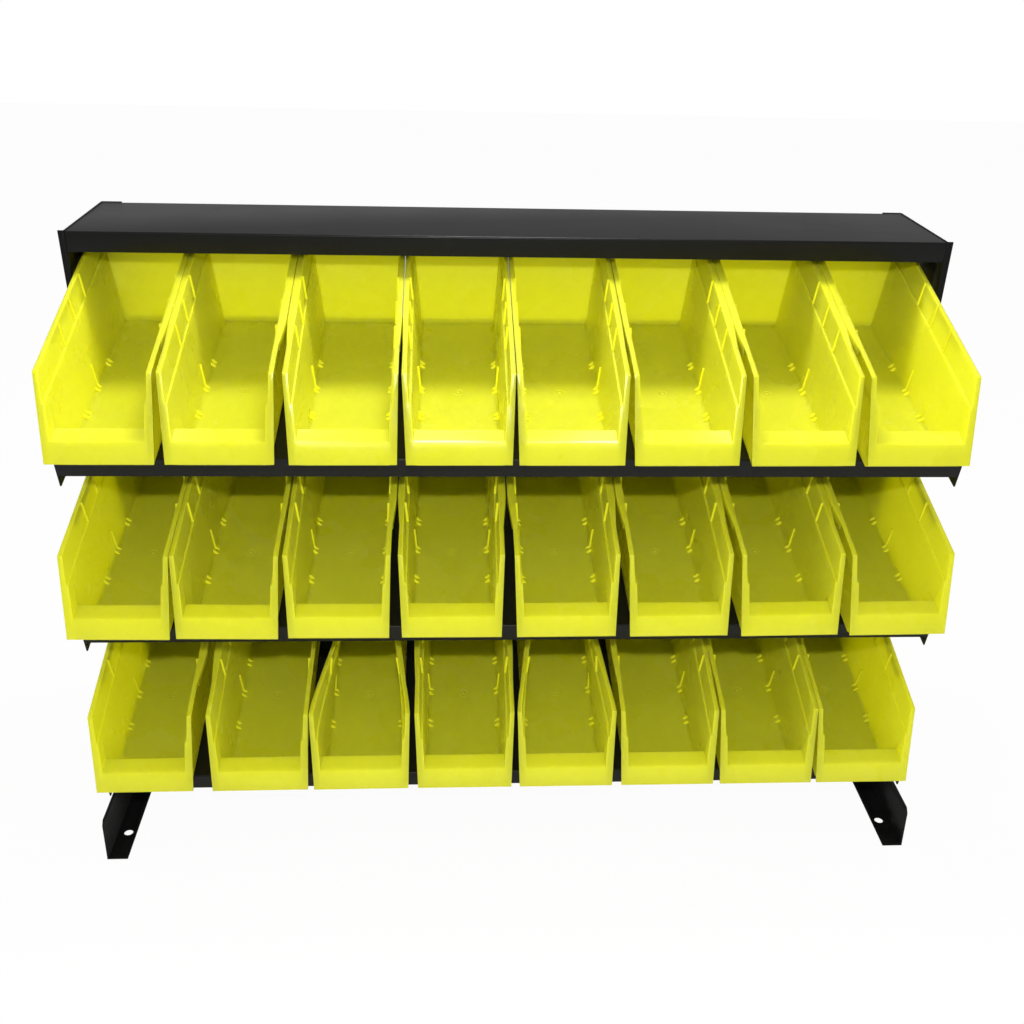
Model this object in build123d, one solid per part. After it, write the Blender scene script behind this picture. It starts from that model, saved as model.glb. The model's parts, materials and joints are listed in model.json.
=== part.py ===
"""Bench rack of three sloping shelves that hold open-front plastic bins.

Millimetres, Z up. X runs across the rack, Y from the front to the rear. The origin is on the
bench, under the middle of the rack's outline.
"""
from build123d import *
import os
from math import atan, cos, degrees, radians, sin, tan

# Sheet metal
sheet = 1.5                   # gauge of the shelves, cap, uprights and feet
bend = 2.0                    # outside radius of a fold

# Bins
columns = 8                   # bins on each shelf
bin_gap = 5.6                 # mean space between neighbouring rims
bin_wall = 2.0
bin_clear = 0.3               # running clearance under and behind a bin
base_w = 83.8                 # underside of a bin, between the outer faces
panel_in = 2.8                # front panel's lower corners, in from the line of the rim
panel_low = 19.0              # height of the panel's lower edge over the bin's underside
panel_high = 37.4             # height of the panel's upper edge
lip_rise = 2.0                # how far the lip climbs from the panel to the front wall
front_wall_u = 26.0           # front wall's foot, behind the panel's lower edge
lip_u = 28.5                  # front wall's top, behind the panel's lower edge
corner_u = 39.5               # front corner of the side walls, behind the panel's lower edge
corner_v = 92.6               # height of that corner
rear_u = 299.0                # outer face of the rear wall, at the underside
rear_lean = 3.0               # how far the rear wall leans out by its top
rim_slope = 3.9               # climb of the top edge towards the rear, in degrees
wall_draft = 3.7              # outward lean of the side walls, in degrees
band_h = 26.4                 # height of the stepped band under the rim
band_step = 2.0               # how far that band stands out
rim_side = 1.44               # how far the rim stands out beyond the band, at its rear end
rim_t = 2.2                   # thickness of the rim
skirt_h = 9.0                 # height of the skirt that hangs from the rear part of the rim
skirt_t = 1.6
skirt_u = 88.0                # where the skirt starts, behind the panel's lower edge
rear_rim = 4.0                # how far the rim stands out behind the rear wall
base_round = 3.0              # rounding of the long lower edges

# Rack
tilt = 12.3                   # slope of the shelves, falling towards the front, in degrees
shelf_step_z = 179.7          # rise from one shelf to the next
shelf_step_y = 14.5           # how far each shelf stands behind the one below
bottom_line_y = 0.2           # bin front line of the bottom shelf, behind the feet's front ends
bottom_line_z = 77.6          # height of the shelf's plane on that line
overhang = 36.3               # how far the bins stand out over the shelf's front fold
shelf_lip = 20.5              # front flange of a shelf
shelf_side = 32.4             # side flanges of a shelf
shelf_stop = 7.0              # rear flange of a shelf, turned up
end_play = 1.0                # spare length of a shelf beyond its bins
cap_over = 12.3               # top of the cap, over the rear rims of the top bins
cap_depth = 143.5
cap_flange = 20.0
upright_flange = 6.8          # front edge of an upright, turned outward
upright_return = 22.0         # rear edge of an upright, turned inward behind the cap
upright_rise = 0.6            # how far the uprights stand up past the cap
rear_room = 24.5              # rear face of the uprights, behind the top shelf's rear edge

# Feet
foot_web = 22.0               # flat leg that rests on the bench
foot_flange = 48.5            # upright leg
foot_lean = 4.0               # how far the upright leg's front edge leans back
foot_snip = 5.0               # snipped corner at its top
foot_hole_d = 10.0
foot_hole_in = 13.0           # hole centre from the foot's outer face
foot_hole_end = 42.0          # hole centre from either end of the foot

# Fasteners
bolt_d = 6.0
bolt_head_d = 11.0
bolt_head_h = 3.2
bolt_reach = 3.0              # thread that shows beyond the nut
bolt_hole_d = 6.6
thread_clear = 0.1            # space all round between a bolt and its nut
nut_af = 10.0                 # nut across its flats
nut_h = 5.0
bolt_inset = 16.0             # bolt line from the uprights' front and rear faces
shelf_bolt_v = 15.0           # bolt line below a shelf's surface

# Where each bin's front stands beside its regular place, and how far its rear end has swung
# towards +X, both counted in gaps between bins
shelf_names = ("top", "middle", "bottom")
bin_shift = {
    "top": (0.0, -0.3, 0.13, -0.36, -1.23, -1.55, -1.39, -1.2),
    "middle": (-1.0, -1.89, -2.11, -1.82, -1.05, -0.45, 0.07, 0.27),
    "bottom": (-0.21, 1.43, 0.59, 0.43, 0.02, -0.14, -0.75, -1.64),
}
bin_swing = {
    "top": (0.0, 0.0, -0.2, -0.15, -0.1, -0.38, -0.38, -0.29),
    "middle": (0.76, 0.76, 0.29, 0.1, -0.29, -0.48, -0.86, -0.76),
    "bottom": (-0.19, -0.19, -0.19, 0.0, 0.0, 0.0, 0.0, 0.0),
}

# Worked out from the sizes above
slope_cos, slope_sin = cos(radians(tilt)), sin(radians(tilt))
steps_up = len(shelf_names) - 1
rear_top_u = rear_u + rear_lean + rear_rim
bin_top_v = corner_v + (rear_top_u - corner_u) * tan(radians(rim_slope))
bin_w = base_w + 2 * (bin_top_v * tan(radians(wall_draft)) + band_step + rim_side)
panel_w = bin_w - 2 * panel_in
pitch = bin_w + bin_gap
shelf_w = columns * pitch + end_play
half_w = shelf_w / 2
stop_u = rear_u + rear_lean * shelf_stop / bin_top_v + bin_clear
top_line_y = bottom_line_y + steps_up * shelf_step_y
top_line_z = bottom_line_z + steps_up * shelf_step_z
frame_rear_y = top_line_y + (stop_u + sheet) * slope_cos + shelf_side * slope_sin + rear_room
frame_front_y = frame_rear_y - cap_depth
cap_top = top_line_z + rear_top_u * slope_sin + (bin_top_v + bin_clear) * slope_cos + cap_over
bin_front_y = bottom_line_y - panel_low * slope_sin
front_y = min(0, bin_front_y)
middle_y = (front_y + frame_rear_y) / 2
past = 20.0                   # how far cutting shapes run past what they cut
near = 0.1                    # how far from a line an edge may lie and still be picked


def block(x, y, z):
    """Box between two corners, each axis given as (low, high)."""
    size = (x[1] - x[0], y[1] - y[0], z[1] - z[0])
    centre = ((x[0] + x[1]) / 2, (y[0] + y[1]) / 2, (z[0] + z[1]) / 2)
    return Pos(*centre) * Box(*size)


def wedge(half_base, draft):
    """Long bar along Y whose sides lean outward from half_base at the underside."""
    low, high = -past, bin_top_v + past
    lean = tan(radians(draft))
    corners = [(-half_base - low * lean, low), (half_base + low * lean, low),
               (half_base + high * lean, high), (-half_base - high * lean, high)]
    section = make_face(Polyline(*corners, close=True))
    length = rear_top_u + 4 * past
    return Pos(0, rear_top_u + 2 * past, 0) * extrude(Rot(90, 0, 0) * section, length)


def side_cut(*corners):
    """Outline in the side view, as (Y, Z) corners, carried right across the bin."""
    outline = make_face(Polyline(*corners, close=True))
    flat = Plane(origin=(-bin_w, 0, 0), x_dir=(0, 1, 0), z_dir=(1, 0, 0))
    return extrude(flat * outline, 2 * bin_w)


def top_v(u, drop=0.0):
    """Height of the side walls' top edge at a place along the bin, less a drop."""
    return corner_v + (u - corner_u) * tan(radians(rim_slope)) - drop


def front_u(v, back=0.0):
    """Front plane of the bin at a height, moved back by a thickness."""
    return corner_u * (v - panel_low) / (corner_v - panel_low) + back


def make_bin():
    """Open-front bin, with its front line on X and its underside on the XY plane."""
    far = rear_top_u + past
    lip_v = panel_high + lip_rise
    front_low = (front_u(panel_low), panel_low)
    front_high = (front_u(corner_v), corner_v)
    rear_high = (rear_u + rear_lean, top_v(rear_u + rear_lean))

    # Side walls, floor and rear wall, with the stepped band under the rim
    shell = wedge(base_w / 2, wall_draft) & side_cut(
        (front_wall_u, 0), (rear_u, 0), rear_high, front_high, front_low)
    band = wedge(base_w / 2 + band_step, wall_draft) & side_cut(
        (front_u(corner_v - band_h), top_v(front_u(corner_v - band_h), band_h)),
        (rear_high[0], top_v(rear_high[0], band_h)), rear_high, front_high)

    # Rim along the top edge, its skirt at the rear, and the front panel with its flanges
    rim_front = front_u(corner_v, rim_t)
    rim = side_cut(front_high, (rear_top_u, top_v(rear_top_u)), (rear_top_u, top_v(rear_top_u, rim_t)),
                   (rim_front, top_v(rim_front, rim_t)), (front_u(corner_v - rim_t), corner_v - rim_t))
    rim &= block((-bin_w / 2, bin_w / 2), (0, far), (0, bin_top_v))
    skirt = side_cut((skirt_u, top_v(skirt_u)), (rear_top_u, top_v(rear_top_u)),
                     (rear_top_u, top_v(rear_top_u, skirt_h)), (skirt_u, top_v(skirt_u, skirt_h)))
    skirt &= block((-bin_w / 2, bin_w / 2), (0, far), (0, bin_top_v))
    skirt -= block((-bin_w / 2 + skirt_t, bin_w / 2 - skirt_t), (0, rear_top_u - skirt_t), (0, far))
    panel_draft = degrees(atan((bin_w - panel_w) / 2 / (corner_v - panel_low)))
    panel_foot = panel_w / 2 - panel_low * tan(radians(panel_draft))
    face = wedge(panel_foot, panel_draft) & side_cut(
        front_low, front_high, (rim_front, corner_v), (front_u(panel_low, rim_t), panel_low))

    # Room inside: behind the front wall, over the lip, and in the pocket behind the panel
    room = wedge(base_w / 2 - bin_wall, wall_draft) & side_cut(
        (front_wall_u + bin_wall, bin_wall), (rear_u - bin_wall, bin_wall),
        (rear_high[0] - bin_wall, rear_high[1]), (rear_high[0] - bin_wall, bin_top_v + past),
        (front_u(corner_v) - past, bin_top_v + past),
        (front_u(panel_high) - past, panel_high), (front_u(panel_high), panel_high), (lip_u, lip_v),
        (lip_u + bin_wall, lip_v - bin_wall))
    band_foot = corner_v - band_h + bin_wall
    band_room = wedge(base_w / 2 - bin_wall + band_step, wall_draft) & side_cut(
        (front_u(band_foot) - past, top_v(front_u(band_foot) - past, band_h - bin_wall)),
        (rear_high[0] - bin_wall, top_v(rear_high[0] - bin_wall, band_h - bin_wall)),
        (rear_high[0] - bin_wall, bin_top_v + past), (front_u(corner_v) - past, bin_top_v + past))
    pocket = wedge(base_w / 2 - bin_wall, wall_draft) & side_cut(
        (front_wall_u, -past), (front_wall_u, 0), (lip_u, lip_v - bin_wall),
        (front_u(panel_high, rim_t), panel_high - bin_wall),
        (front_u(panel_low, rim_t), panel_low), (front_u(panel_low, rim_t), -past))

    shell = fillet(shell.edges().filter_by(Axis.Y).group_by(Axis.Z)[0], base_round)
    room = fillet(room.edges().filter_by(Axis.Y).group_by(Axis.Z)[0], base_round)
    return shell + band + rim + skirt + face - room - band_room - pocket


def on_shelf(row):
    """Place of a shelf's front line: X across, Y up the slope, Z square to its surface."""
    y = top_line_y - row * shelf_step_y - middle_y
    z = top_line_z - row * shelf_step_z
    return Pos(0, y, z) * Rot(tilt, 0, 0)


def in_gaps(values, column):
    """A bin's own value in millimetres. Bins past the end of the list take its last value."""
    return bin_gap * values[min(column, len(values) - 1)]


def bin_place(row_name, column):
    """Where a bin stands on its shelf: turned a little, with its rear corner just off the stop."""
    turn = atan(in_gaps(bin_swing[row_name], column) / rear_top_u)
    half_rear = base_w / 2 + shelf_stop * tan(radians(wall_draft))
    x = (column - (columns - 1) / 2) * pitch + in_gaps(bin_shift[row_name], column)
    return Pos(x, -half_rear * sin(abs(turn)), bin_clear) * Rot(0, 0, -degrees(turn))


def bolt_stations(row):
    """Distances up the slope at which a shelf's side flanges are bolted to the uprights."""
    row_y = top_line_y - row * shelf_step_y
    drop = shelf_bolt_v * slope_sin
    first = (frame_front_y + bolt_inset + upright_flange - row_y - drop) / slope_cos
    return first, stop_u - bolt_inset


def side_hole(side, y, z):
    """Bolt hole through a side face of the rack, or of a shelf, at a place on it."""
    return Pos(side * half_w, y, z) * Rot(0, 90, 0) * Cylinder(bolt_hole_d / 2, 4 * sheet)


def make_shelf(row):
    """Shelf folded from one sheet: front and side flanges down, rear stop up."""
    along = (overhang, stop_u + sheet)
    shelf = block((-half_w, half_w), along, (-sheet, 0))
    shelf += block((-half_w, half_w), (overhang, overhang + sheet), (-shelf_lip, 0))
    shelf += block((-half_w, half_w), (stop_u, stop_u + sheet), (-sheet, shelf_stop))
    folds = shelf.edges().filter_by(Axis.X).filter_by_position(Axis.Y, overhang - near, overhang + near)
    shelf = fillet(folds.sort_by(Axis.Z)[-1], bend)
    for side in (-1, 1):
        inner, outer = half_w - sheet, half_w
        across = (inner, outer) if side > 0 else (-outer, -inner)
        shelf += block(across, (overhang + bend, stop_u + sheet), (-shelf_side, 0))
        shelf += block(across, (overhang, overhang + bend), (-shelf_side, -bend))
        for u in bolt_stations(row):
            shelf -= side_hole(side, u, -shelf_bolt_v)
    return on_shelf(row) * shelf


def side_bolt_places():
    """Bolt centres on the uprights as (Y, Z), for the shelves, the cap and the feet."""
    places = {"shelf": [], "cap": [], "foot": []}
    for row in range(len(shelf_names)):
        for u in bolt_stations(row):
            centre = (on_shelf(row) * Pos(0, u, -shelf_bolt_v)).position
            places["shelf"].append((centre.Y, centre.Z))
    for y in (frame_front_y + bolt_inset - middle_y, frame_rear_y - bolt_inset - middle_y):
        places["cap"].append((y, cap_top - cap_flange / 2))
        places["foot"].append((y, foot_flange / 2))
    return places


def make_upright(side, places):
    """Upright: a web with its front edge turned outward and its rear edge turned inward."""
    y0, y1 = frame_front_y - middle_y, frame_rear_y - middle_y
    tall = (0, cap_top + upright_rise)
    outer = half_w + sheet
    upright = block((half_w, outer), (y0, y1), tall)
    upright += block((half_w, half_w + upright_flange), (y0, y0 + sheet), tall)
    upright += block((outer - upright_return, outer), (y1 - sheet, y1), tall)
    upright_edges = upright.edges().filter_by(Axis.Z)
    front_fold = upright_edges.filter_by_position(Axis.X, half_w - near, half_w + near).sort_by(Axis.Y)[0]
    rear_fold = upright_edges.filter_by_position(Axis.X, outer - near, outer + near).sort_by(Axis.Y)[-1]
    upright = fillet([front_fold, rear_fold], bend)
    for centres in places.values():
        for y, z in centres:
            upright -= side_hole(1, y, z)
    return upright if side > 0 else mirror(upright, about=Plane.YZ)


def make_cap(places):
    """Cap: a flat top with all four edges folded down, between the uprights' webs and returns."""
    y0, y1 = frame_front_y - middle_y, frame_rear_y - sheet - middle_y
    cap = block((-half_w, half_w), (y0, y1), (cap_top - cap_flange, cap_top))
    cap = fillet(cap.edges().filter_by(Axis.X).group_by(Axis.Z)[-1], bend)
    cap -= block((-half_w + sheet, half_w - sheet), (y0 + sheet, y1 - sheet), (0, cap_top - sheet))
    for side in (-1, 1):
        for y, z in places["cap"]:
            cap -= side_hole(side, y, z)
    return cap


def make_foot(side, places):
    """Angle foot: a flat leg on the bench and an upright leg bolted inside the upright."""
    y0, y1 = -middle_y, frame_rear_y - sheet - middle_y
    outline = Polyline((y0, 0), (y0 + foot_lean, foot_flange - foot_snip),
                       (y0 + foot_lean + foot_snip, foot_flange), (y1, foot_flange), (y1, 0), close=True)
    side_view = Plane(origin=(half_w - sheet, 0, 0), x_dir=(0, 1, 0), z_dir=(1, 0, 0))
    foot = extrude(side_view * make_face(outline), sheet)
    foot += block((half_w - foot_web, half_w), (y0, y1), (0, sheet))
    for y in (y0 + foot_hole_end, y1 - foot_hole_end):
        foot -= Pos(half_w - foot_hole_in, y, 0) * Cylinder(foot_hole_d / 2, 4 * sheet)
    for y, z in places["foot"]:
        foot -= side_hole(1, y, z)
    return foot if side > 0 else mirror(foot, about=Plane.YZ)


def make_bolts(side, centres):
    """Round-headed bolts from outside, through the upright and the flange inside it."""
    grip = 2 * sheet
    shank = grip + nut_h + bolt_reach
    bolt = Pos(0, 0, bolt_head_h / 2) * Cylinder(bolt_head_d / 2, bolt_head_h)
    bolt = fillet(bolt.edges().group_by(Axis.Z)[-1], bolt_head_h / 2)
    bolt += Pos(0, 0, -shank / 2) * Cylinder(bolt_d / 2, shank)
    return [Pos(side * (half_w + sheet), y, z) * Rot(0, side * 90, 0) * bolt for y, z in centres]


def make_nuts(side, centres):
    """Hexagon nuts on the inner ends of the bolts."""
    nut = extrude(RegularPolygon(nut_af / 2, 6, major_radius=False), nut_h)
    nut -= Cylinder(bolt_d / 2 + thread_clear, 4 * nut_h)
    return [Pos(side * (half_w - sheet), y, z) * Rot(0, -side * 90, 0) * nut for y, z in centres]


def save(shape, name):
    """Write one node."""
    shape.label = name
    export_step(shape, os.path.join("parts", name + ".step"))


os.makedirs("parts", exist_ok=True)
bolt_places = side_bolt_places()
bin_shape = make_bin()
save(make_cap(bolt_places), "top_cap")
for row, row_name in enumerate(shelf_names):
    save(make_shelf(row), "shelf_" + row_name)
    for column in range(columns):
        save(on_shelf(row) * bin_place(row_name, column) * bin_shape, f"bin_{row_name}_{column + 1}")
for side, side_name in ((-1, "left"), (1, "right")):
    save(make_upright(side, bolt_places), "upright_" + side_name)
    save(make_foot(side, bolt_places), "foot_" + side_name)
    for use, centres in bolt_places.items():
        save(Compound(children=make_bolts(side, centres)), f"{use}_bolts_{side_name}")
        save(Compound(children=make_nuts(side, centres)), f"{use}_nuts_{side_name}")
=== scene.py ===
"""Looks of the bench bin rack: moulded yellow bins, powder-coated steel, bolts, stage and camera."""

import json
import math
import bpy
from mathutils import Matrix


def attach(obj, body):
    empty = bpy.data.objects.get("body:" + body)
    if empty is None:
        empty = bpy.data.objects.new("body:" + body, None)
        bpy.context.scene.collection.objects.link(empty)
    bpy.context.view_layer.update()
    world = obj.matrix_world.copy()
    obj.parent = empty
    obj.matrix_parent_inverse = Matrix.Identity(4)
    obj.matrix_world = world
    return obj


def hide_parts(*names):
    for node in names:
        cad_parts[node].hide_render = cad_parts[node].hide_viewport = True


bl_info = {
    "name": "Bench bin rack",
    "version": (1, 0, 0),
    "blender": (4, 5, 0),
    "location": "View3D > Sidebar > Bin rack",
    "description": "Dresses the bin rack's solids with moulded bins, powder-coated sheet and bolts",
    "category": "Object",
}

import bmesh
import bpy
from mathutils import Matrix, Vector

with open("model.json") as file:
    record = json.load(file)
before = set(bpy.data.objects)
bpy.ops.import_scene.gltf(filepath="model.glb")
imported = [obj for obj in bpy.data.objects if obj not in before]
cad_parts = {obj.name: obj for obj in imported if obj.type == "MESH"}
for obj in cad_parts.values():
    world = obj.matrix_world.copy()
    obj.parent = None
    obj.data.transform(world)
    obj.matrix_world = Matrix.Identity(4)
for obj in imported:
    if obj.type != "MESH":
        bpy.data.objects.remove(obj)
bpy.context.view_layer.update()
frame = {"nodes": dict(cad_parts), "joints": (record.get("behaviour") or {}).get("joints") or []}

MM = 0.001
SHELVES = ("top", "middle", "bottom")
COLUMNS = 8
RACK = "rack"


# Settings that a user would change

class BinSettings(bpy.types.PropertyGroup):
    """Sizes of the moulded details of a bin."""
    edge: bpy.props.FloatProperty(
        name="Edge rounding", description="Radius of the moulded edges",
        default=0.55 * MM, unit="LENGTH")
    panel_cut: bpy.props.FloatProperty(
        name="Bend spacing", description="Spacing of the cuts along the walls, which let them flex",
        default=14 * MM, unit="LENGTH")
    station_first: bpy.props.FloatProperty(
        name="First divider slot", description="From the front panel's lower edge to the first slot",
        default=105.5 * MM, unit="LENGTH")
    station_step: bpy.props.FloatProperty(
        name="Divider slot spacing", description="Spacing of the divider slots",
        default=49.5 * MM, unit="LENGTH")
    station_count: bpy.props.IntProperty(
        name="Divider slots", description="Divider slots along each side", default=3, min=1)
    slot_width: bpy.props.FloatProperty(
        name="Slot width", description="Spacing of the two ribs of a divider slot",
        default=7.5 * MM, unit="LENGTH")
    rib: bpy.props.FloatProperty(
        name="Rib thickness", description="Thickness of the small moulded ribs",
        default=0.7 * MM, unit="LENGTH")
    wall_rib_first: bpy.props.FloatProperty(
        name="First wall rib", description="From the front panel's lower edge to the first rib on the band",
        default=117 * MM, unit="LENGTH")
    wall_rib_step: bpy.props.FloatProperty(
        name="Wall rib spacing", description="Spacing of the thin ribs on the band",
        default=44 * MM, unit="LENGTH")
    rim_room: bpy.props.FloatProperty(
        name="Space between rims", description="Space kept between the rear rims of neighbouring bins",
        default=0.7 * MM, unit="LENGTH")
    gate_place: bpy.props.FloatProperty(
        name="Gate mark", description="Place of the moulding gate's mark on the floor",
        default=153 * MM, unit="LENGTH")
    colour: bpy.props.FloatVectorProperty(
        name="Plastic colour", description="Colour of the moulded plastic", subtype="COLOR",
        size=3, default=(0.90, 0.90, 0.034), min=0, max=1)


class SteelSettings(bpy.types.PropertyGroup):
    """Sizes and colours of the steelwork."""
    edge: bpy.props.FloatProperty(
        name="Sheared edge rounding", description="Softness of the coated sheet edges",
        default=0.3 * MM, unit="LENGTH")
    colour: bpy.props.FloatVectorProperty(
        name="Powder coat colour", description="Colour of the powder coat", subtype="COLOR",
        size=3, default=(0.0065, 0.0065, 0.0066), min=0, max=1)
    bolt_colour: bpy.props.FloatVectorProperty(
        name="Bolt colour", description="Colour of the blackened bolts", subtype="COLOR",
        size=3, default=(0.02, 0.02, 0.02), min=0, max=1)
    head_radius: bpy.props.FloatProperty(
        name="Bolt head radius", description="Radius of the domed bolt heads",
        default=5.5 * MM, unit="LENGTH")
    head_height: bpy.props.FloatProperty(
        name="Bolt head height", description="Height of the domed bolt heads",
        default=3.2 * MM, unit="LENGTH")


class StageSettings(bpy.types.PropertyGroup):
    """Camera, lamps and floor."""
    camera_place: bpy.props.FloatVectorProperty(
        name="Camera", description="Place of the camera", subtype="XYZ", unit="LENGTH",
        size=3, default=(-0.0610, -1.1423, 0.8852))
    camera_yaw: bpy.props.FloatProperty(
        name="Camera yaw", description="Turn of the view to the right", default=0.0665, unit="ROTATION")
    camera_pitch: bpy.props.FloatProperty(
        name="Camera pitch", description="Tilt of the view downward", default=0.5237, unit="ROTATION")
    camera_roll: bpy.props.FloatProperty(
        name="Camera roll", description="Roll of the view", default=0.0283, unit="ROTATION")
    focal_share: bpy.props.FloatProperty(
        name="Focal length", description="Focal length as a share of the picture's width",
        default=1.1227)
    shift_x: bpy.props.FloatProperty(
        name="Shift across", description="Sideways shift of the lens", default=-0.0103)
    shift_y: bpy.props.FloatProperty(
        name="Shift up", description="Upward shift of the lens", default=0.0853)
    floor_colour: bpy.props.FloatVectorProperty(
        name="Floor colour", description="Colour of the floor", subtype="COLOR", size=3,
        default=(0.86, 0.86, 0.86), min=0, max=1)
    top_light: bpy.props.FloatProperty(
        name="Overhead light", description="Power of the lamp over the rack", default=12.5, unit="POWER")
    front_light: bpy.props.FloatProperty(
        name="Front light", description="Power of the small lamp over the camera",
        default=8.4, unit="POWER")
    room_light: bpy.props.FloatProperty(
        name="Room light", description="Strength of the light from all round", default=0.59)
    dull_shine: bpy.props.FloatProperty(
        name="Duller reflections", description="How much less of the room's light shows in reflections",
        default=0.20)


# Node trees

class Value:
    """A shader value that takes + - * and becomes Math nodes."""

    def __init__(self, tree, socket):
        self.tree = tree
        self.socket = socket

    def _math(self, operation, left, right):
        made = self.tree.add("ShaderNodeMath", {"operation": operation}, {0: left, 1: right})
        return Value(self.tree, made.outputs[0])

    def __add__(self, other):
        return self._math("ADD", self, other)

    __radd__ = __add__

    def __sub__(self, other):
        return self._math("SUBTRACT", self, other)

    def __rsub__(self, other):
        return self._math("SUBTRACT", other, self)

    def __mul__(self, other):
        return self._math("MULTIPLY", self, other)

    __rmul__ = __mul__


class Tree:
    """A node tree under construction, for a material or for geometry."""

    def __init__(self, tree):
        self.tree = tree
        self.tree.nodes.clear()

    def add(self, kind, settings=None, inputs=None):
        """Add a node: its settings first, then the values or links of its sockets."""
        node = self.tree.nodes.new(kind)
        for name, value in (settings or {}).items():
            setattr(node, name, value)
        for key, value in (inputs or {}).items():
            self.put(node.inputs[key], value)
        return node

    def put(self, socket, value):
        """Link a socket, or set its own value."""
        if isinstance(value, Value):
            value = value.socket
        if isinstance(value, bpy.types.NodeSocket):
            self.tree.links.new(value, socket)
        else:
            socket.default_value = value

    def value(self, socket):
        return Value(self, socket)

    def noise(self, place, scale, detail=3.0, roughness=0.5, stretch=None):
        """Noise from 0 to 1 on object coordinates, stretched along an axis where asked."""
        if stretch:
            scaled = self.add("ShaderNodeVectorMath", {"operation": "MULTIPLY"}, {0: place, 1: stretch})
            place = scaled.outputs[0]
        made = self.add("ShaderNodeTexNoise", None,
                        {"Vector": place, "Scale": scale, "Detail": detail, "Roughness": roughness})
        return self.value(made.outputs["Fac"])

    def ramp(self, factor, low, high):
        """Rise from 0 to 1 between two values of the factor."""
        made = self.add("ShaderNodeMapRange", {"clamp": True},
                        {"Value": factor, "From Min": low, "From Max": high})
        return self.value(made.outputs["Result"])

    def mix_colour(self, factor, first, second):
        """Mix two colours."""
        made = self.add("ShaderNodeMix", {"data_type": "RGBA"}, {"Factor": factor})
        self.put(made.inputs[6], first)
        self.put(made.inputs[7], second)
        return made.outputs[2]

    def bump(self, height, strength, distance, below=None):
        """Bump normal from a height field."""
        inputs = {"Height": height, "Strength": strength, "Distance": distance}
        if below is not None:
            inputs["Normal"] = below
        return self.add("ShaderNodeBump", None, inputs).outputs["Normal"]


def with_alpha(colour):
    return (*colour, 1.0)


def new_material(name):
    """A named material with an empty tree, its shader and the object coordinates."""
    material = bpy.data.materials.new(name)
    material.use_nodes = True
    tree = Tree(material.node_tree)
    shader = tree.add("ShaderNodeBsdfPrincipled")
    output = tree.add("ShaderNodeOutputMaterial")
    tree.put(output.inputs["Surface"], shader.outputs["BSDF"])
    place = tree.add("ShaderNodeTexCoord").outputs["Object"]
    return material, tree, shader, place


def moulded_plastic(name, colour, depth):
    """Half-gloss yellow polypropylene: flow clouding, orange peel, soft sink marks and light in its depth."""
    material, tree, shader, place = new_material(name)
    cloud = tree.noise(place, 9.0, 4.0)
    streak = tree.noise(place, 30.0, 3.0, 0.6, (1.0, 0.25, 1.0))
    deep = tuple(c * k for c, k in zip(colour, (0.93, 0.90, 0.7)))
    tint = tree.mix_colour(tree.ramp(cloud * 0.6 + streak * 0.4, 0.35, 0.68),
                           with_alpha(deep), with_alpha(colour))
    peel = tree.noise(place, 620.0, 2.0)
    sink = tree.noise(place, 38.0, 2.0)
    scuff = tree.ramp(tree.noise(place, 160.0, 5.0, 0.7), 0.62, 0.78)
    soft = tree.bump(sink.socket, 0.12, 0.0012)
    normal = tree.bump(peel.socket, 0.10, 0.0002, soft)
    tree.put(shader.inputs["Base Color"], tint)
    tree.put(shader.inputs["Roughness"], 0.25 + 0.05 * cloud + 0.05 * scuff)
    tree.put(shader.inputs["Normal"], normal)
    shader.inputs["Subsurface Weight"].default_value = depth
    shader.inputs["Subsurface Radius"].default_value = (1.0, 0.95, 0.1)
    shader.inputs["Subsurface Scale"].default_value = 0.014
    shader.inputs["Specular IOR Level"].default_value = 0.28
    shader.inputs["IOR"].default_value = 1.49
    return material


def powder_coat(colour):
    """Black powder coat: fine orange peel, faint dust and softer gloss in places."""
    material, tree, shader, place = new_material("black_powder_coat")
    peel = tree.noise(place, 520.0, 3.0, 0.6)
    wave = tree.noise(place, 14.0, 2.0)
    dust = tree.ramp(tree.noise(place, 900.0, 2.0, 0.7), 0.66, 0.8)
    rubbed = tree.ramp(tree.noise(place, 21.0, 6.0, 0.72), 0.58, 0.78)
    grey = tuple(0.02 + c for c in colour)
    tint = tree.mix_colour(dust * 0.35 + rubbed * 0.18, with_alpha(colour), with_alpha(grey))
    normal = tree.bump(peel.socket, 0.22, 0.00025, tree.bump(wave.socket, 0.12, 0.002))
    tree.put(shader.inputs["Base Color"], tint)
    tree.put(shader.inputs["Roughness"], 0.29 + 0.08 * wave + 0.08 * rubbed)
    tree.put(shader.inputs["Normal"], normal)
    shader.inputs["Specular IOR Level"].default_value = 0.17
    return material


def blackened_steel(colour):
    """Blackened bolts and nuts, a little worn."""
    material, tree, shader, place = new_material("blackened_steel")
    grain = tree.noise(place, 1400.0, 3.0, 0.6)
    wear = tree.ramp(tree.noise(place, 300.0, 4.0, 0.7), 0.55, 0.75)
    tint = tree.mix_colour(wear * 0.5, with_alpha(colour), (0.16, 0.16, 0.165, 1.0))
    tree.put(shader.inputs["Base Color"], tint)
    tree.put(shader.inputs["Roughness"], 0.34 + 0.2 * grain)
    tree.put(shader.inputs["Metallic"], 0.55 + 0.3 * wear)
    tree.put(shader.inputs["Normal"], tree.bump(grain.socket, 0.15, 0.0001))
    return material


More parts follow.
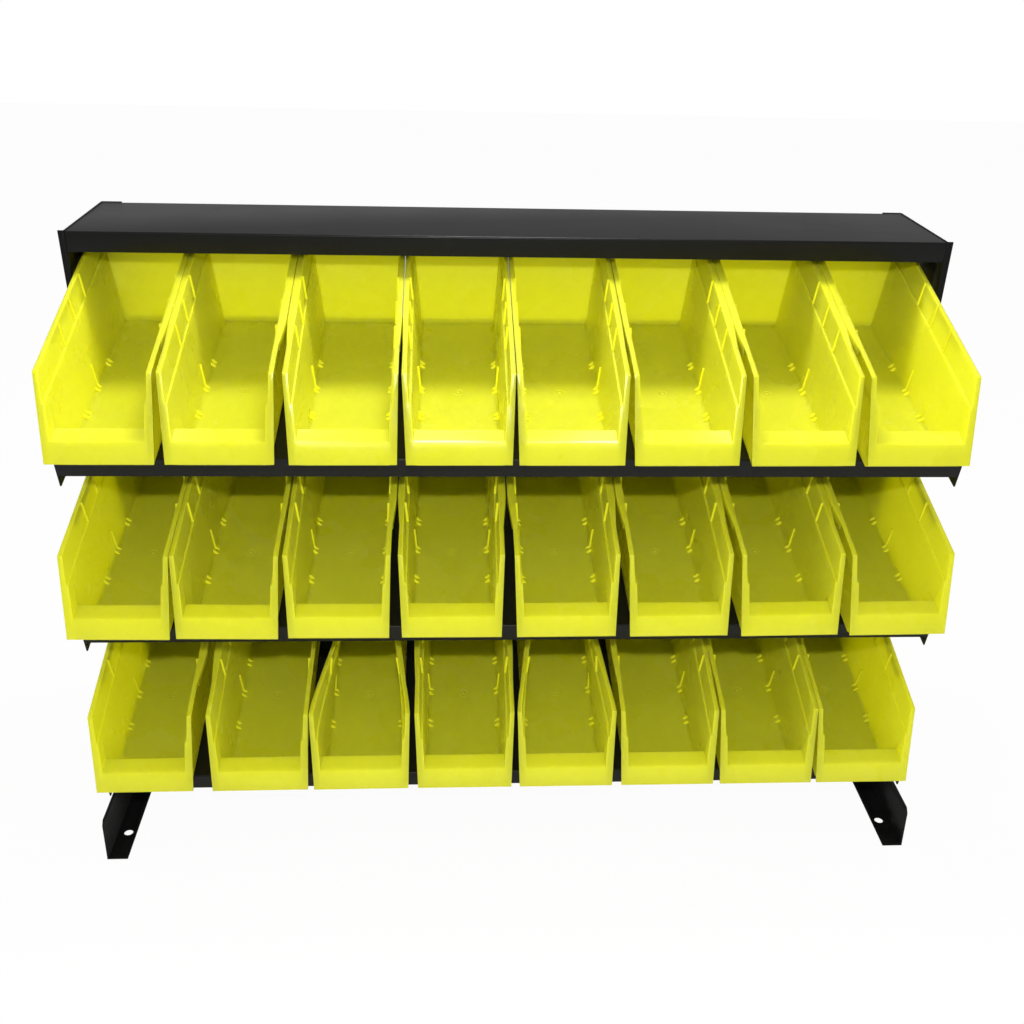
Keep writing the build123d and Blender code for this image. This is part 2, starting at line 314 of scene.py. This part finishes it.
def pale_floor(colour):
    """Floor that the camera sees nearly white and that keeps a soft shadow."""
    material = bpy.data.materials.new("pale_floor")
    material.use_nodes = True
    tree = Tree(material.node_tree)
    cloud = tree.noise(tree.add("ShaderNodeTexCoord").outputs["Object"], 3.0)
    dull = tuple(0.97 * c for c in colour)
    tint = tree.mix_colour(cloud.socket, with_alpha(colour), with_alpha(dull))
    surface = tree.add("ShaderNodeBsdfDiffuse", None, {"Color": tint})
    glow = tree.add("ShaderNodeEmission", None, {"Color": (1.0, 1.0, 1.0, 1.0), "Strength": 1.0})
    ray = tree.add("ShaderNodeLightPath")
    seen = tree.value(ray.outputs["Is Camera Ray"]) * 0.96
    mixed = tree.add("ShaderNodeMixShader", None,
                     {0: seen, 1: surface.outputs[0], 2: glow.outputs[0]})
    output = tree.add("ShaderNodeOutputMaterial")
    tree.put(output.inputs["Surface"], mixed.outputs[0])
    return material


# Meshes

def link(name, mesh):
    """Object in the scene for a mesh."""
    made = bpy.data.objects.new(name, mesh)
    bpy.context.scene.collection.objects.link(made)
    return made


def plain_copy(name, obj):
    """The evaluated mesh of an object, as a new mesh, with the object removed."""
    bpy.context.view_layer.update()
    evaluated = obj.evaluated_get(bpy.context.evaluated_depsgraph_get())
    mesh = bpy.data.meshes.new_from_object(evaluated)
    mesh.name = name
    bpy.data.objects.remove(obj)
    return mesh


def clean_cad_mesh(node, into=None):
    """The node's faces as clean flat outlines, moved into another frame where one is given."""
    work = bmesh.new()
    work.from_mesh(frame["nodes"][node].data)
    if into is not None:
        work.transform(into)
    bmesh.ops.remove_doubles(work, verts=work.verts, dist=0.002 * MM)
    bmesh.ops.dissolve_limit(work, angle_limit=math.radians(0.6), verts=work.verts, edges=work.edges)
    return work


def cut_across(work, axis, step, low, high):
    """Cut all faces by planes square to an axis, so that the shape can bend."""
    place = low + step
    while place < high:
        normal = Vector((0, 0, 0))
        normal[axis] = 1.0
        geometry = work.verts[:] + work.edges[:] + work.faces[:]
        bmesh.ops.bisect_plane(work, geom=geometry, dist=1e-6, plane_co=normal * place, plane_no=normal)
        place += step


def soften(obj, width, segments=2):
    """Round the sharp edges and keep the flat faces flat to the eye."""
    bevel = obj.modifiers.new("soft edges", "BEVEL")
    bevel.width = width
    bevel.segments = segments
    bevel.limit_method = "ANGLE"
    bevel.angle_limit = math.radians(38)
    bevel.use_clamp_overlap = True
    bevel.harden_normals = False
    weighted = obj.modifiers.new("flat faces", "WEIGHTED_NORMAL")
    weighted.keep_sharp = True


def shade_smooth(mesh, sharp_angle=40.0):
    mesh.shade_smooth()
    mesh.set_sharp_from_angle(angle=math.radians(sharp_angle))


def dress(name, mesh, material, body, slot, *nodes):
    """Finish a piece: its material, its body and the solids that it stands for; the slot is not used."""
    mesh.materials.clear()
    mesh.materials.append(material)
    piece = link(name, mesh)
    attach(piece, body)
    if nodes:
        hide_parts(*nodes)
    return piece


# Bins

def slide_of(node):
    """Axis of a bin's slide, which points down its shelf."""
    for joint in frame["joints"]:
        if joint["child"] == node + "_body":
            return Vector(joint["axis"]).normalized()
    raise RuntimeError(f"{node} has no slide")


def bin_axes(node):
    """Frame of a bin: X across, Y from the front to the rear, Z square to its floor."""
    along = -slide_of(node)
    slope = math.atan2(along.z, along.y)
    up = Vector((0, -math.sin(slope), math.cos(slope)))
    across = along.cross(up).normalized()
    turn = Matrix((across, along, up)).transposed()
    flat = [turn.transposed() @ vertex.co for vertex in frame["nodes"][node].data.vertices]
    low = Vector([min(p[i] for p in flat) for i in range(3)])
    high = Vector([max(p[i] for p in flat) for i in range(3)])
    corner = Vector(((low.x + high.x) / 2, low.y, low.z))
    return Matrix.Translation(turn @ corner) @ turn.to_4x4(), high - low


# How much thicker the gussets of a divider slot are than the small ribs
GUSSET_MORE = 0.7 * MM


def rib_tree(settings):
    """Geometry tree: small gussets in pairs at each divider slot, from the side walls to the floor."""
    group = bpy.data.node_groups.new("divider ribs", "GeometryNodeTree")
    names = (("First", settings.station_first), ("Spacing", settings.station_step),
             ("Pair gap", settings.slot_width), ("Thickness", settings.rib + GUSSET_MORE),
             ("Length", 6.5 * MM), ("Depth", 3.0 * MM), ("Half width", 38.1 * MM), ("Lift", 3.9 * MM),
             ("Lean", math.radians(45)))
    for name, default in names:
        socket = group.interface.new_socket(name, in_out="INPUT", socket_type="NodeSocketFloat")
        socket.default_value = default
    count = group.interface.new_socket("Stations", in_out="INPUT", socket_type="NodeSocketInt")
    count.default_value = settings.station_count
    finish = group.interface.new_socket("Finish", in_out="INPUT", socket_type="NodeSocketMaterial")
    group.interface.new_socket("Geometry", in_out="OUTPUT", socket_type="NodeSocketGeometry")
    tree = Tree(group)
    given = tree.add("NodeGroupInput").outputs
    joined = tree.add("GeometryNodeJoinGeometry")
    for side in (-1, 1):
        for half in (-0.5, 0.5):
            shift = tree.add("ShaderNodeMath", {"operation": "MULTIPLY"}, {0: given["Pair gap"], 1: half})
            start = tree.add("ShaderNodeMath", {"operation": "ADD"}, {0: given["First"], 1: shift.outputs[0]})
            edge = tree.add("ShaderNodeMath", {"operation": "MULTIPLY"}, {0: given["Half width"], 1: side})
            begin = tree.add("ShaderNodeCombineXYZ", None,
                             {0: edge.outputs[0], 1: start.outputs[0], 2: given["Lift"]})
            step = tree.add("ShaderNodeCombineXYZ", None, {1: given["Spacing"]})
            line = tree.add("GeometryNodeMeshLine", {"mode": "OFFSET"},
                            {"Count": given["Stations"], "Start Location": begin.outputs[0],
                             "Offset": step.outputs[0]})
            size = tree.add("ShaderNodeCombineXYZ", None,
                            {0: given["Length"], 1: given["Thickness"], 2: given["Depth"]})
            rib = tree.add("GeometryNodeMeshCube", None, {"Size": size.outputs[0]})
            lean = tree.add("ShaderNodeMath", {"operation": "MULTIPLY"}, {0: given["Lean"], 1: -side})
            turn = tree.add("ShaderNodeCombineXYZ", None, {1: lean.outputs[0]})
            placed = tree.add("GeometryNodeInstanceOnPoints", None,
                              {"Points": line.outputs[0], "Instance": rib.outputs["Mesh"],
                               "Rotation": turn.outputs[0]})
            tree.put(joined.inputs[0], placed.outputs[0])
    real = tree.add("GeometryNodeRealizeInstances", None, {0: joined.outputs[0]})
    painted = tree.add("GeometryNodeSetMaterial", None,
                       {"Geometry": real.outputs[0], "Material": given["Finish"]})
    output = tree.add("NodeGroupOutput")
    tree.put(output.inputs[0], painted.outputs[0])
    return group, finish.identifier


def made_by_tree(name, group, finish_id, material):
    """Mesh that a geometry tree makes."""
    carrier = link(name, bpy.data.meshes.new(name))
    modifier = carrier.modifiers.new("tree", "NODES")
    modifier.node_group = group
    modifier[finish_id] = material
    return plain_copy(name, carrier)


# The stepped band under a bin's rim: its height and how far it stands out
BAND = 26.4 * MM
BAND_STEP = 2.0 * MM

# A bin's side walls: inner half width at the floor, lean, and the front corner and slope of their top edge
WALL_FOOT = 39.9 * MM
WALL_LEAN = math.radians(3.7)
CORNER_PLACE = 39.5 * MM
CORNER_HEIGHT = 92.6 * MM
EDGE_SLOPE = math.radians(3.9)

# The floor's thickness, and how far a rib reaches into the wall that carries it
FLOOR = 2.0 * MM
RIB_BITE = 0.3 * MM


def wall_half(v):
    """Inner half width of a bin at a height, below its band."""
    return WALL_FOOT + math.tan(WALL_LEAN) * v


def top_edge(u):
    """Height of the side walls' top edge at a place along the bin."""
    return CORNER_HEIGHT + math.tan(EDGE_SLOPE) * (u - CORNER_PLACE)


def leaning_rib(work, side, u, thick, low, high, proud):
    """Upright rib on a side wall between two (height, depth into the wall) pairs, standing proud."""
    corners = []
    for v, deep in (low, high):
        for x in (wall_half(v) - proud, wall_half(v) + deep):
            for y in (u - thick / 2, u + thick / 2):
                corners.append(work.verts.new((side * x, y, v)))
    for face in ((0, 1, 3, 2), (4, 6, 7, 5), (0, 4, 5, 1), (2, 3, 7, 6), (0, 2, 6, 4), (1, 5, 7, 3)):
        work.faces.new([corners[i] for i in face])


def add_wall_ribs(work, settings):
    """Thin ribs across the stepped band, and a taller one beside the middle divider slot."""
    over_edge = 0.25 * MM
    foot, tip = (1.5 * MM, RIB_BITE), (29 * MM, RIB_BITE)
    tall_thick, tall_proud = settings.rib + 0.8 * MM, 1.8 * MM
    middle = settings.station_first + (settings.station_count // 2) * settings.station_step
    for side in (-1, 1):
        for index in range(settings.station_count):
            u = settings.wall_rib_first + index * settings.wall_rib_step
            low = (top_edge(u) - BAND, BAND_STEP + RIB_BITE)
            high = (top_edge(u) + over_edge, 2 * BAND_STEP)
            leaning_rib(work, side, u, settings.rib, low, high, 0.0)
        leaning_rib(work, side, middle + settings.slot_width / 2, tall_thick, foot, tip, tall_proud)


def add_gate_mark(work, settings):
    """Ring and nib that the moulding gate leaves on the floor."""
    turn = Matrix.Translation((0, settings.gate_place, FLOOR))
    for radius, height, count in ((1.6 * MM, 0.4 * MM, 16), (0.8 * MM, 0.7 * MM, 12)):
        bmesh.ops.create_cone(work, cap_ends=True, segments=count, radius1=radius, radius2=radius * 0.8,
                              depth=2 * height, matrix=turn)
    ring, ring_wide, ring_high = 5.2 * MM, 0.4 * MM, 0.22 * MM
    segments, sides = 40, 6
    loops = []
    for i in range(segments):
        angle = 2 * math.pi * i / segments
        spoke = Vector((math.cos(angle), math.sin(angle), 0))
        loop = []
        for k in range(sides):
            round_angle = 2 * math.pi * k / sides
            out = ring + ring_wide * math.cos(round_angle)
            lift = Vector((0, 0, ring_high * math.sin(round_angle)))
            loop.append(work.verts.new(turn @ (spoke * out + lift)))
        loops.append(loop)
    for i in range(segments):
        here, there = loops[i], loops[(i + 1) % segments]
        for k in range(sides):
            n = (k + 1) % sides
            work.faces.new((here[k], there[k], there[n], here[n]))


def bin_shell(settings):
    """One bin's shell in its own frame, with rounded edges, and the bin's size."""
    node = f"bin_{SHELVES[0]}_1"
    place, size = bin_axes(node)
    work = clean_cad_mesh(node, place.inverted())
    cut_across(work, 1, settings.panel_cut, 0.0, size.y)
    mesh = bpy.data.meshes.new("bin shell")
    work.to_mesh(mesh)
    work.free()
    body = link("bin shell", mesh)
    soften(body, settings.edge)
    shell = plain_copy("moulded bin", body)
    shade_smooth(shell)
    return shell, size


def bin_ribs(settings, material):
    """One bin's gussets, ribs and gate mark, in the bin's own frame."""
    group, finish_id = rib_tree(settings)
    work = bmesh.new()
    work.from_mesh(made_by_tree("divider ribs", group, finish_id, material))
    add_wall_ribs(work, settings)
    add_gate_mark(work, settings)
    bmesh.ops.recalc_face_normals(work, faces=work.faces)
    ribs = bpy.data.meshes.new("bin ribs")
    work.to_mesh(ribs)
    work.free()
    shade_smooth(ribs)
    return ribs


# Where a bin's rim starts to widen, over what length it does, and the most that it widens on one side
RIM_START = 84 * MM
RIM_EASE = 40 * MM
MOST_GROWTH = 3.5 * MM

# What counts as the rim's outer face: how deep below the outermost width, and how far under the top edge
RIM_SKIN = 0.7 * MM
RIM_HEIGHT = 9.6 * MM

# A wall's bow: the share of the length where it starts, and what shapes it along the wall and up it
BOW_START = 0.14
BOW_REARWARD = 1.25
BOW_UPWARD = 1.4

# How far each bin's side walls bow outward at the rim, in millimetres: left wall, right wall
WALL_BOW = {
    "bin_bottom_3": (-27.0, -21.0),
    "bin_bottom_5": (-21.0, -19.0),
    "bin_bottom_2": (-1.0, 1.0),
}


def bowed(place, bow, size):
    """A point of a bin after its walls have bowed: most at the rim, nearly two thirds of the way back."""
    along = max(0.0, min(1.0, (place.y / size.y - BOW_START) / (1.0 - BOW_START)))
    height = max(0.0, min(1.0, place.z / size.z))
    share = math.sin(math.pi * along ** BOW_REARWARD) * height ** BOW_UPWARD
    reach = max(-1.0, min(1.0, place.x / (0.8 * wall_half(place.z))))
    left, right = (amount * MM for amount in bow)
    push = right * max(0.0, reach) - left * max(0.0, -reach)
    return Vector((place.x + push * share, place.y, place.z))


def rim_line(node, side, u):
    """Place across the rack of a bin's rim line, at a distance up its shelf from the bin's front."""
    place, size = bin_axes(node)
    return (place @ Vector((side * size.x / 2, u, 0))).x


def rim_growth(shelf, column, side, travel, room):
    """How far a bin's rear rim may grow towards its neighbour, wherever the two have slid."""
    other = column + side
    if not 1 <= other <= COLUMNS:
        return 0.0
    node, neighbour = f"bin_{shelf}_{column}", f"bin_{shelf}_{other}"
    _, size = bin_axes(node)
    gaps = [side * (rim_line(neighbour, -side, u) - rim_line(node, side, u))
            for u in (RIM_START - travel, size.y)]
    return max(0.0, min(MOST_GROWTH, (min(gaps) - room) / 2))


def grown(place, growth, size):
    """A point of a bin after the outer faces of its rear rim have grown outward."""
    outer = abs(place.x) > size.x / 2 - RIM_SKIN and place.z > top_edge(place.y) - RIM_HEIGHT
    start = max(0.0, min(1.0, (place.y - RIM_START) / RIM_EASE))
    if not outer or start == 0.0:
        return place
    left, right = growth
    return Vector((place.x + start * (right if place.x > 0 else -left), place.y, place.z))


class BINRACK_OT_bins(bpy.types.Operator):
    """Add the moulded bins, each on its own slide"""
    bl_idname = "binrack.bins"
    bl_label = "Add bins"

    def execute(self, context):
        settings = context.scene.bin_rack_bins
        plastic = moulded_plastic("yellow_polypropylene", settings.colour, 1.0)
        thin_plastic = moulded_plastic("thin_yellow_polypropylene", settings.colour, 0.0)
        shell, size = bin_shell(settings)
        ribs = bin_ribs(settings, thin_plastic)
        travel = max(joint["range_m"][1] for joint in frame["joints"])
        for shelf in SHELVES:
            for column in range(1, COLUMNS + 1):
                node = f"bin_{shelf}_{column}"
                growth = [rim_growth(shelf, column, side, travel, settings.rim_room) for side in (-1, 1)]
                bow = WALL_BOW.get(node, (0.0, 0.0))
                place, _ = bin_axes(node)
                for mesh, ending, material, replaced in ((shell, "_moulded", plastic, (node,)),
                                                         (ribs, "_ribs", thin_plastic, ())):
                    copy = mesh.copy()
                    copy.name = node + ending
                    for vertex in copy.vertices:
                        vertex.co = bowed(grown(vertex.co, growth, size), bow, size)
                    copy.transform(place)
                    dress(node + ending, copy, material, node + "_body", "yellow_plastic", *replaced)
        return {"FINISHED"}


# Steelwork

def coated_sheet(node, settings, material):
    """A folded sheet piece with softened sheared edges."""
    work = clean_cad_mesh(node)
    mesh = bpy.data.meshes.new(node + " clean")
    work.to_mesh(mesh)
    work.free()
    body = link(node + " clean", mesh)
    soften(body, settings.edge)
    mesh = plain_copy(node + "_coated", body)
    shade_smooth(mesh)
    return dress(node + "_coated", mesh, material, RACK, "black_steel", node)


def steel_finish(context):
    """The powder coat that all steel pieces share."""
    found = bpy.data.materials.get("black_powder_coat")
    return found or powder_coat(context.scene.bin_rack_steel.colour)


class BINRACK_OT_cap(bpy.types.Operator):
    """Add the folded cap"""
    bl_idname = "binrack.cap"
    bl_label = "Add cap"

    def execute(self, context):
        coated_sheet("top_cap", context.scene.bin_rack_steel, steel_finish(context))
        return {"FINISHED"}


class BINRACK_OT_shelves(bpy.types.Operator):
    """Add the three folded shelves"""
    bl_idname = "binrack.shelves"
    bl_label = "Add shelves"

    def execute(self, context):
        for shelf in SHELVES:
            coated_sheet("shelf_" + shelf, context.scene.bin_rack_steel, steel_finish(context))
        return {"FINISHED"}


class BINRACK_OT_uprights(bpy.types.Operator):
    """Add the side uprights"""
    bl_idname = "binrack.uprights"
    bl_label = "Add uprights"

    def execute(self, context):
        for side in ("left", "right"):
            coated_sheet("upright_" + side, context.scene.bin_rack_steel, steel_finish(context))
        return {"FINISHED"}


class BINRACK_OT_feet(bpy.types.Operator):
    """Add the angle feet"""
    bl_idname = "binrack.feet"
    bl_label = "Add feet"

    def execute(self, context):
        for side in ("left", "right"):
            coated_sheet("foot_" + side, context.scene.bin_rack_steel, steel_finish(context))
        return {"FINISHED"}


def solid_boxes(node):
    """Lowest and highest corner of each separate solid in a node."""
    work = bmesh.new()
    work.from_mesh(frame["nodes"][node].data)
    bmesh.ops.remove_doubles(work, verts=work.verts, dist=0.01 * MM)
    left = set(work.verts)
    boxes = []
    while left:
        found = {left.pop()}
        front = list(found)
        while front:
            vertex = front.pop()
            for edge in vertex.link_edges:
                other = edge.other_vert(vertex)
                if other in left:
                    left.discard(other)
                    found.add(other)
                    front.append(other)
        low = Vector([min(v.co[i] for v in found) for i in range(3)])
        high = Vector([max(v.co[i] for v in found) for i in range(3)])
        boxes.append((low, high))
    work.free()
    return boxes


def fastener_tree(name, outline, sides):
    """Geometry tree that turns rings, given as (radius, height) pairs, into a shape on every point."""
    group = bpy.data.node_groups.new(name, "GeometryNodeTree")
    group.interface.new_socket("Geometry", in_out="INPUT", socket_type="NodeSocketGeometry")
    finish = group.interface.new_socket("Finish", in_out="INPUT", socket_type="NodeSocketMaterial")
    turn = group.interface.new_socket("Turn", in_out="INPUT", socket_type="NodeSocketRotation")
    group.interface.new_socket("Geometry", in_out="OUTPUT", socket_type="NodeSocketGeometry")
    tree = Tree(group)
    given = tree.add("NodeGroupInput").outputs
    joined = tree.add("GeometryNodeJoinGeometry")
    for (radius, height), (next_radius, next_height) in zip(outline, outline[1:]):
        falling = next_height < height
        bottom, top = (next_radius, radius) if falling else (radius, next_radius)
        ring = tree.add("GeometryNodeMeshCone", {"fill_type": "NONE"},
                        {"Vertices": sides, "Radius Top": top, "Radius Bottom": bottom,
                         "Depth": max(abs(next_height - height), 1e-7)})
        lifted = tree.add("GeometryNodeTransform", None,
                          {"Geometry": ring.outputs["Mesh"], "Translation": (0, 0, min(height, next_height))})
        part = lifted.outputs[0]
        if falling:
            part = tree.add("GeometryNodeFlipFaces", None, {0: part}).outputs[0]
        tree.put(joined.inputs[0], part)
    welded = tree.add("GeometryNodeMergeByDistance", None, {"Geometry": joined.outputs[0], "Distance": 1e-6})
    placed = tree.add("GeometryNodeInstanceOnPoints", None,
                      {"Points": given["Geometry"], "Instance": welded.outputs[0], "Rotation": given["Turn"]})
    real = tree.add("GeometryNodeRealizeInstances", None, {0: placed.outputs[0]})
    painted = tree.add("GeometryNodeSetMaterial", None,
                       {"Geometry": real.outputs[0], "Material": given["Finish"]})
    output = tree.add("NodeGroupOutput")
    tree.put(output.inputs[0], painted.outputs[0])
    return group, finish.identifier, turn.identifier


def bolt_outline(settings, shank):
    """Domed head with a round recess, and the shank behind it, as (radius, height) pairs."""
    r, h = settings.head_radius, settings.head_height
    neck, tip, point = 3.0 * MM, 2.7 * MM, 0.6 * MM
    brim, lip = 0.2 * MM, 0.3 * MM
    recess, deep = 2.2 * MM, 1.9 * MM
    stem = [(0.0, -shank), (tip, -shank), (neck, point - shank), (neck, 0.0), (r - brim, 0.0), (r, brim)]
    dome = [(r * math.cos(a), h * 0.35 + h * 0.65 * math.sin(a)) for a in (0.0, 0.3, 0.6, 0.85, 1.05)]
    socket = [(recess + lip, h), (recess, h - lip), (recess, h - deep), (0.0, h - deep)]
    return stem + dome + socket


class BINRACK_OT_fasteners(bpy.types.Operator):
    """Add the bolts and nuts that hold the steelwork together"""
    bl_idname = "binrack.fasteners"
    bl_label = "Add fasteners"

    def execute(self, context):
        settings = context.scene.bin_rack_steel
        material = blackened_steel(settings.bolt_colour)
        for side, sign in (("left", -1), ("right", 1)):
            for use in ("shelf", "cap", "foot"):
                for kind in ("bolts", "nuts"):
                    self.add_group(f"{use}_{kind}_{side}", kind, sign, settings, material)
        return {"FINISHED"}

    def add_group(self, node, kind, sign, settings, material):
        """One node's fasteners, instanced on their centres."""
        boxes = solid_boxes(node)
        sample = boxes[0][1] - boxes[0][0]
        points = []
        for low, high in boxes:
            middle = (low + high) / 2
            inner = low.x if sign > 0 else high.x
            points.append((inner, middle.y, middle.z))
        if kind == "bolts":
            shank = sample.x - settings.head_height
            outline = bolt_outline(settings, shank)
            points = [(x + sign * shank, y, z) for x, y, z in points]
            sides = 28
        else:
            flat = sample.y / 2 / math.cos(math.radians(30))
            reach, bore = sample.x, 3.05 * MM
            chamfer = 0.5 * MM
            outline = [(bore, 0.0), (flat - chamfer, 0.0), (flat, chamfer), (flat, reach - chamfer),
                       (flat - chamfer, reach), (bore + chamfer, reach), (bore, reach - chamfer), (bore, 0.0)]
            sides = 6
        group, finish_id, turn_id = fastener_tree(node + " tree", outline, sides)
        mesh = bpy.data.meshes.new(node)
        mesh.from_pydata(points, [], [])
        carrier = link(node + " points", mesh)
        modifier = carrier.modifiers.new("tree", "NODES")
        modifier.node_group = group
        modifier[finish_id] = material
        modifier[turn_id] = (0.0, sign * math.pi / 2, 0.0)
        made = plain_copy(node + "_turned", carrier)
        shade_smooth(made, 35.0)
        dress(node + "_turned", made, material, RACK, "zinc_steel", node)


# Stage

# Each lamp's place, the point that it faces, and its two sides, in metres
OVERHEAD_LAMP = ((0.03, 0.22, 1.65), (0.0, -0.02, 0.45), (0.30, 0.22))
FRONT_LAMP = ((-0.06, -1.14, 1.012), (0.0, 0.0, 0.32), (0.03, 0.03))


def aimed(place, target):
    """Turn that points a lamp from its place at a target."""
    return (Vector(target) - Vector(place)).to_track_quat("-Z", "Y").to_euler()


def area_lamp(name, place, target, size, power):
    lamp = bpy.data.lights.new(name, "AREA")
    lamp.shape = "RECTANGLE"
    lamp.size, lamp.size_y = size
    lamp.energy = power
    made = bpy.data.objects.new(name, lamp)
    made.location = place
    made.rotation_euler = aimed(place, target)
    bpy.context.scene.collection.objects.link(made)


def add_camera(settings):
    """Camera at the place, turn and shift of the picture."""
    yaw, pitch, roll = settings.camera_yaw, settings.camera_pitch, settings.camera_roll
    forward = Vector((math.sin(yaw) * math.cos(pitch), math.cos(yaw) * math.cos(pitch), -math.sin(pitch)))
    level = Vector((math.cos(yaw), -math.sin(yaw), 0))
    raised = level.cross(forward)
    right = level * math.cos(roll) + raised * math.sin(roll)
    up = raised * math.cos(roll) - level * math.sin(roll)
    data = bpy.data.cameras.new("camera")
    data.sensor_width = 36.0
    data.lens = settings.focal_share * data.sensor_width
    data.shift_x, data.shift_y = settings.shift_x, settings.shift_y
    data.clip_start, data.clip_end = 0.05, 50.0
    camera = bpy.data.objects.new("camera", data)
    turn = Matrix((right, up, -forward)).transposed().to_4x4()
    camera.matrix_world = Matrix.Translation(settings.camera_place) @ turn
    bpy.context.scene.collection.objects.link(camera)
    bpy.context.scene.camera = camera


def add_room(settings):
    """World that lights evenly and looks white to the camera."""
    world = bpy.data.worlds.new("room")
    world.use_nodes = True
    tree = Tree(world.node_tree)
    ray = tree.add("ShaderNodeLightPath")
    white = tree.value(ray.outputs["Is Camera Ray"]) + tree.value(ray.outputs["Is Transmission Ray"])
    strength = settings.room_light + white * (1.0 - settings.room_light)
    strength = strength - tree.value(ray.outputs["Is Glossy Ray"]) * settings.dull_shine
    back = tree.add("ShaderNodeBackground", None, {"Color": (1.0, 1.0, 1.0, 1.0), "Strength": strength})
    output = tree.add("ShaderNodeOutputWorld")
    tree.put(output.inputs["Surface"], back.outputs[0])
    bpy.context.scene.world = world


class BINRACK_OT_stage(bpy.types.Operator):
    """Add the floor, the lamps, the room light and the camera"""
    bl_idname = "binrack.stage"
    bl_label = "Add stage"

    def execute(self, context):
        settings = context.scene.bin_rack_stage
        floor_reach = 6.0
        work = bmesh.new()
        bmesh.ops.create_grid(work, x_segments=4, y_segments=4, size=floor_reach)
        mesh = bpy.data.meshes.new("floor")
        work.to_mesh(mesh)
        work.free()
        mesh.materials.append(pale_floor(settings.floor_colour))
        link("floor", mesh)
        area_lamp("overhead lamp", *OVERHEAD_LAMP, settings.top_light)
        area_lamp("front lamp", *FRONT_LAMP, settings.front_light)
        add_room(settings)
        add_camera(settings)
        context.scene.view_settings.view_transform = "Standard"
        return {"FINISHED"}


class BINRACK_PT_panel(bpy.types.Panel):
    """Buttons for the pieces of the rack"""
    bl_idname = "BINRACK_PT_panel"
    bl_label = "Bin rack"
    bl_space_type = "VIEW_3D"
    bl_region_type = "UI"
    bl_category = "Bin rack"

    def draw(self, context):
        for operator in OPERATORS:
            self.layout.operator(operator.bl_idname)
        for group in ("bin_rack_bins", "bin_rack_steel", "bin_rack_stage"):
            settings = getattr(context.scene, group)
            box = self.layout.box()
            for name in settings.__annotations__:
                box.prop(settings, name)


OPERATORS = (BINRACK_OT_stage, BINRACK_OT_cap, BINRACK_OT_shelves, BINRACK_OT_uprights, BINRACK_OT_feet,
             BINRACK_OT_fasteners, BINRACK_OT_bins)
GROUPS = {"bin_rack_bins": BinSettings, "bin_rack_steel": SteelSettings, "bin_rack_stage": StageSettings}


def register():
    for group in GROUPS.values():
        bpy.utils.register_class(group)
    for name, group in GROUPS.items():
        setattr(bpy.types.Scene, name, bpy.props.PointerProperty(type=group))
    for operator in OPERATORS:
        bpy.utils.register_class(operator)
    bpy.utils.register_class(BINRACK_PT_panel)


def unregister():
    bpy.utils.unregister_class(BINRACK_PT_panel)
    for operator in reversed(OPERATORS):
        bpy.utils.unregister_class(operator)
    for name in GROUPS:
        delattr(bpy.types.Scene, name)
    for group in reversed(list(GROUPS.values())):
        bpy.utils.unregister_class(group)


def main():
    register()
    for operator in OPERATORS:
        call = getattr(bpy.ops.binrack, operator.bl_idname.split(".")[1])
        if call() != {"FINISHED"}:
            raise RuntimeError(f"{operator.bl_idname} did not finish")


if __name__ == "__main__":
    main()
